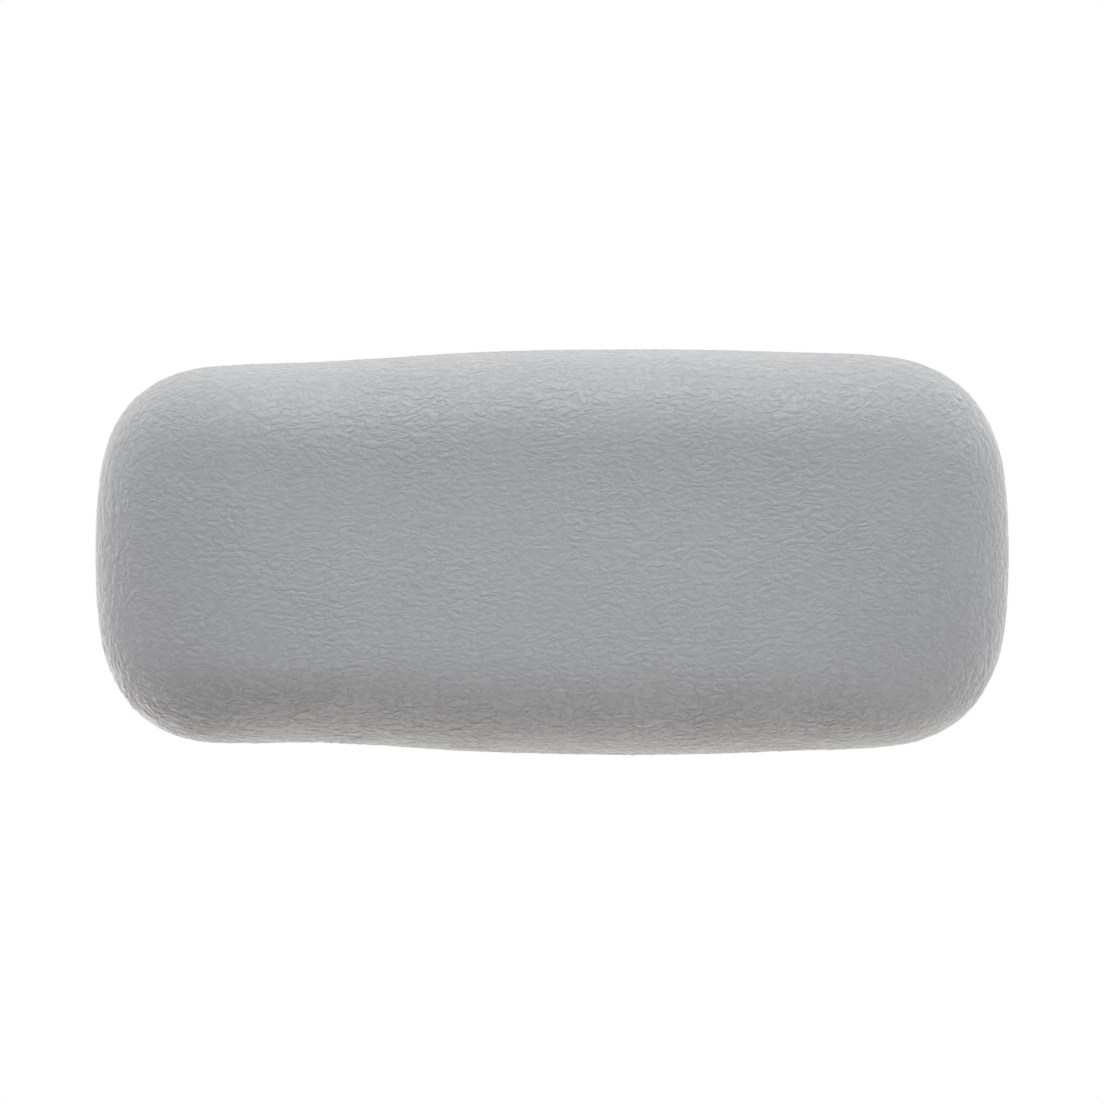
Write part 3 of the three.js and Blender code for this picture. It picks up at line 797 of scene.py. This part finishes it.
def grained_vinyl():
    """Moulded leather grain: the creases pressed into the skin, made sharper, finer wrinkles, and painted shade:
    darker lines in the creases and the lows of the wrinkles, and a darker patch low on the left end."""
    g = Look("grained_vinyl")
    run, edge, patch = leather(g, g.place)
    fine = g.noise(g.vec("MULTIPLY", g.warp(g.place, 0.8, 0.7, 1.0), (0.55, 0.70, 1.0)), 1.0, 1.0, 0.55)
    press = g.mark("press")
    height = g.math("ADD", g.ramp(run, 0.0, 0.13, 0.0, 0.50), g.ramp(edge, 0.0, 0.50, 0.0, 0.35))
    height = g.math("ADD", height, g.math("MULTIPLY", fine, 0.7))
    height = g.math("MULTIPLY", g.math("MULTIPLY", height, patch), press)
    g.set("Normal", g.bump(height, GRAIN_DEPTH))
    # Painted shade: the creases and the lows of the fine wrinkles are darker in colour and their tops a touch lighter,
    # standing in for the shade that falls in them; stronger where the press marks deepen the grain.
    lines = g.math("ADD", g.ramp(run, 0.0, 0.10, -0.034, 0.011), g.ramp(edge, 0.0, 0.20, -0.026, 0.009))
    painted_crease_shade = g.math("MULTIPLY", g.math("ADD", lines, g.ramp(fine, 0.0, 1.0, -0.05, 0.05, "LINEAR")), press)
    mottle = g.ramp(g.noise(g.place, 0.05, 3.0), 0.0, 1.0, 0.97, 1.03, "LINEAR")
    # The skin's colour: a random mottle, less a painted shade in the patch low on the left end.
    mottle_and_painted_shade = g.math("SUBTRACT", mottle, g.math("MULTIPLY", g.mark("painted_corner_shade"), 0.10))
    g.set("Base Color", g.shade(VINYL, g.math("ADD", mottle_and_painted_shade, painted_crease_shade)))
    g.set("Roughness", g.ramp(height, 0.2, 1.3, 0.66, 0.54))
    g.bsdf.inputs["Sheen Weight"].default_value = 0.6
    g.bsdf.inputs["Sheen Roughness"].default_value = 0.35
    return g.mat


def foam_look():
    """Closed-cell foam: fine bubbles cut open and painted darker inside as shade, a little uneven in tone."""
    g = Look("closed_cell_foam")
    p = g.warp(g.place, 0.7, 0.3)
    cell = g.ramp(g.cells(p, 1.5), 0.02, 0.32)
    small = g.ramp(g.cells(p, 3.4), 0.02, 0.35)
    dip = g.math("ADD", g.math("MULTIPLY", cell, -0.7), g.math("MULTIPLY", small, -0.3))
    g.set("Normal", g.bump(dip, 0.22))
    # Painted shade: the sunk bubbles are darker in colour, with a random unevenness on top.
    tone = g.math("ADD", g.math("MULTIPLY", cell, 0.6), g.math("MULTIPLY", g.noise(g.place, 0.08, 3.0), 0.4))
    g.set("Base Color", g.tint(tone, (0.66, 0.65, 0.61), (0.50, 0.49, 0.455)))
    g.set("Roughness", g.ramp(cell, 0.0, 1.0, 0.86, 0.96))
    return g.mat


def moulded(name, rgb, grain, depth, rough, flow=0.10):
    """Injection-moulded plastic: a fine sparked or drawn surface with faint flow marks."""
    g = Look(name)
    fine = g.noise(g.place, grain, 3.0, 0.65)
    streak = g.noise(g.vec("MULTIPLY", g.warp(g.place, 0.03, 9.0), (0.02, 0.2, 0.2)), 1.0, 3.0)
    g.set("Normal", g.bump(fine, depth))
    g.set("Base Color", g.tint(streak, times(rgb, 1 - flow), times(rgb, 1 + flow)))
    g.set("Roughness", g.math("ADD", g.ramp(fine, 0.3, 0.7, rough - 0.05, rough + 0.06), g.ramp(streak, 0.3, 0.7, -0.02, 0.03)))
    return g.mat


def rubber_look():
    g = Look("nitrile_rubber")
    bloom = g.noise(g.place, 0.5, 4.0, 0.65)
    g.set("Normal", g.bump(g.noise(g.place, 4.0, 3.0, 0.6), 0.015))
    g.set("Base Color", g.tint(g.ramp(bloom, 0.45, 0.8), (0.012, 0.012, 0.012), (0.03, 0.03, 0.031)))
    g.set("Roughness", g.ramp(bloom, 0.3, 0.75, 0.52, 0.72))
    return g.mat


def steel_look():
    g = Look("stainless_steel")
    p = g.vec("MULTIPLY", g.place, (0.8, 6.0, 0.8))
    lines = g.noise(p, 2.0, 3.0, 0.6)
    g.set("Normal", g.bump(lines, 0.006))
    g.set("Base Color", g.tint(lines, (0.53, 0.535, 0.54), (0.66, 0.665, 0.67)))
    g.set("Roughness", g.ramp(lines, 0.25, 0.75, 0.22, 0.36))
    g.bsdf.inputs["Metallic"].default_value = 1.0
    return g.mat


def wear(obs, mat):
    for ob in obs:
        ob.data.materials.clear()
        ob.data.materials.append(mat)


VINYL = (0.3295, 0.3393, 0.3533)
GRAIN_DEPTH = 0.15
wear([skin], grained_vinyl())
wear([foam], foam_look())
wear([plate], moulded("textured_abs", (0.085, 0.092, 0.100), 4.5, 0.035, 0.5))
wear(hard["socket"], moulded("black_acetal", (0.014, 0.015, 0.017), 2.2, 0.008, 0.4))
wear(hard["pin"], moulded("natural_nylon", (0.74, 0.72, 0.655), 1.6, 0.006, 0.38, 0.03))
wear(hard["soft_ring"], rubber_look())
wear(hard["screw"], steel_look())

# ---------------------------------------------------------------- camera, square on to the front
PIXELS = 1104.0
MM_PER_PIXEL = 267.0 / 912.5
cam = bpy.data.cameras.new("camera")
cam.lens = 135
cam.sensor_width = 36
camera = bpy.data.objects.new("camera", cam)
scene.collection.objects.link(camera)
distance = PIXELS * MM_PER_PIXEL * MM / cam.sensor_width * cam.lens
camera.location = (0, -EQUATOR * MM - distance, 0)
camera.rotation_euler = (math.pi / 2, 0, 0)
cam.clip_end = 50
scene.camera = camera
scene.view_settings.view_transform = "Standard"
scene.view_settings.look = "None"

ROOM, BACKDROP = 0.05, 0.5      # light from all round in front, and from behind
WARM, CREAM, COOL = (1.0, 0.90, 0.81), (1.0, 0.96, 0.92), (0.93, 0.965, 1.0)
LIGHTS = [          # name, azimuth, elevation, power and, where it isn't the usual white box, colour, distance and size
    ("key_left", -25, 55, 8.6),
    ("key_right", 25, 55, 6.9),
    ("front_right", 60, 20, 1.4),
    ("left_side", -105, 0, 3.25),
    ("right_side", 105, 0, 1.7, COOL),
    ("left_high_back", -115, 37, 3.4, CREAM),
    ("right_high_back", 117, 40, 3.55, CREAM),
    ("top_back", 180, 50, 1.65, WARM),
    ("low_right_side", 110, -25, 0.45, CREAM, 0.5, 0.3),
    ("low_left_back", -130, -27, 0.8, CREAM, 0.5, 0.3),
    ("low_right_back", 140, -30, 0.22, CREAM, 0.5, 0.3),
]

# ---------------------------------------------------------------- floor, surroundings and lights


def floor_disc(radius=1.05, z=-0.32):
    """A pale matt disc under the part, with a soft rounded rim."""
    bm = bmesh.new()
    rows = []
    for r, drop in ((0.25, 0), (0.6, 0), (0.95, 0), (radius, 0), (radius + 0.006, 0.002), (radius + 0.008, 0.006), (radius + 0.008, 0.012)):
        rows.append([bm.verts.new((r * math.cos(a), r * math.sin(a), z - drop))
                     for a in np.linspace(0, 2 * math.pi, 160, endpoint=False)])
    mid = bm.verts.new((0, 0, z))
    for i in range(160):
        j = (i + 1) % 160
        bm.faces.new((mid, rows[0][i], rows[0][j]))
        for a, b in zip(rows[:-1], rows[1:]):
            bm.faces.new((a[i], b[i], b[j], a[j]))
    bmesh.ops.recalc_face_normals(bm, faces=bm.faces)
    me = bpy.data.meshes.new("floor")
    bm.to_mesh(me)
    bm.free()
    me.polygons.foreach_set("use_smooth", [True] * len(me.polygons))
    ob = link("floor", me)
    g = Look("pale_floor")
    cloud = g.noise(g.place, 0.012, 3.0)
    g.set("Base Color", g.tint(cloud, times(FLOOR, 0.985), times(FLOOR, 1.015)))
    g.set("Roughness", g.ramp(cloud, 0.3, 0.7, 0.85, 0.95))
    wear([ob], g.mat)
    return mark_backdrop(ob)


FLOOR = (0.84, 0.82, 0.79)
floor_disc()

# a bright white backdrop behind the part and a dimmer room in front; the camera sees plain white all round
world = bpy.data.worlds.new("studio")
scene.world = world
world.use_nodes = True
w = world.node_tree
w.nodes.clear()


def glow(strength):
    n = w.nodes.new("ShaderNodeBackground")
    n.inputs["Color"].default_value = (1, 1, 1, 1)
    n.inputs["Strength"].default_value = strength
    return n


def blend(fac, a, b):
    n = w.nodes.new("ShaderNodeMixShader")
    w.links.new(fac, n.inputs[0])
    w.links.new(a.outputs[0], n.inputs[1])
    w.links.new(b.outputs[0], n.inputs[2])
    return n


way = w.nodes.new("ShaderNodeSeparateXYZ")
w.links.new(w.nodes.new("ShaderNodeTexCoord").outputs["Generated"], way.inputs[0])
behind = w.nodes.new("ShaderNodeMapRange")
behind.interpolation_type = "SMOOTHSTEP"
behind.inputs["From Min"].default_value = -0.15
behind.inputs["From Max"].default_value = 0.35
w.links.new(way.outputs["Y"], behind.inputs["Value"])
room = blend(behind.outputs[0], glow(ROOM), glow(BACKDROP))
path = w.nodes.new("ShaderNodeLightPath")
seen = blend(path.outputs["Is Camera Ray"], room, glow(1.0))
out = w.nodes.new("ShaderNodeOutputWorld")
w.links.new(seen.outputs[0], out.inputs[0])


def softbox(name, azimuth, elevation, power, colour=(1, 1, 1), distance=1.1, size=0.7):
    """A square soft light that looks at the cushion; azimuth 0 is the camera's side."""
    a, e = math.radians(azimuth), math.radians(elevation)
    d = Vector((math.sin(a) * math.cos(e), -math.cos(a) * math.cos(e), math.sin(e)))
    light = bpy.data.lights.new(name, "AREA")
    light.shape = "SQUARE"
    light.size = size
    light.energy = power
    light.color = colour
    ob = bpy.data.objects.new(name, light)
    scene.collection.objects.link(ob)
    ob.location = d * distance + Vector((0, -0.02, 0))
    ob.rotation_mode = "QUATERNION"
    ob.rotation_quaternion = (-d).to_track_quat("-Z", "Y")
    ob.visible_camera = False
    return ob


for row in LIGHTS:
    softbox(*row)
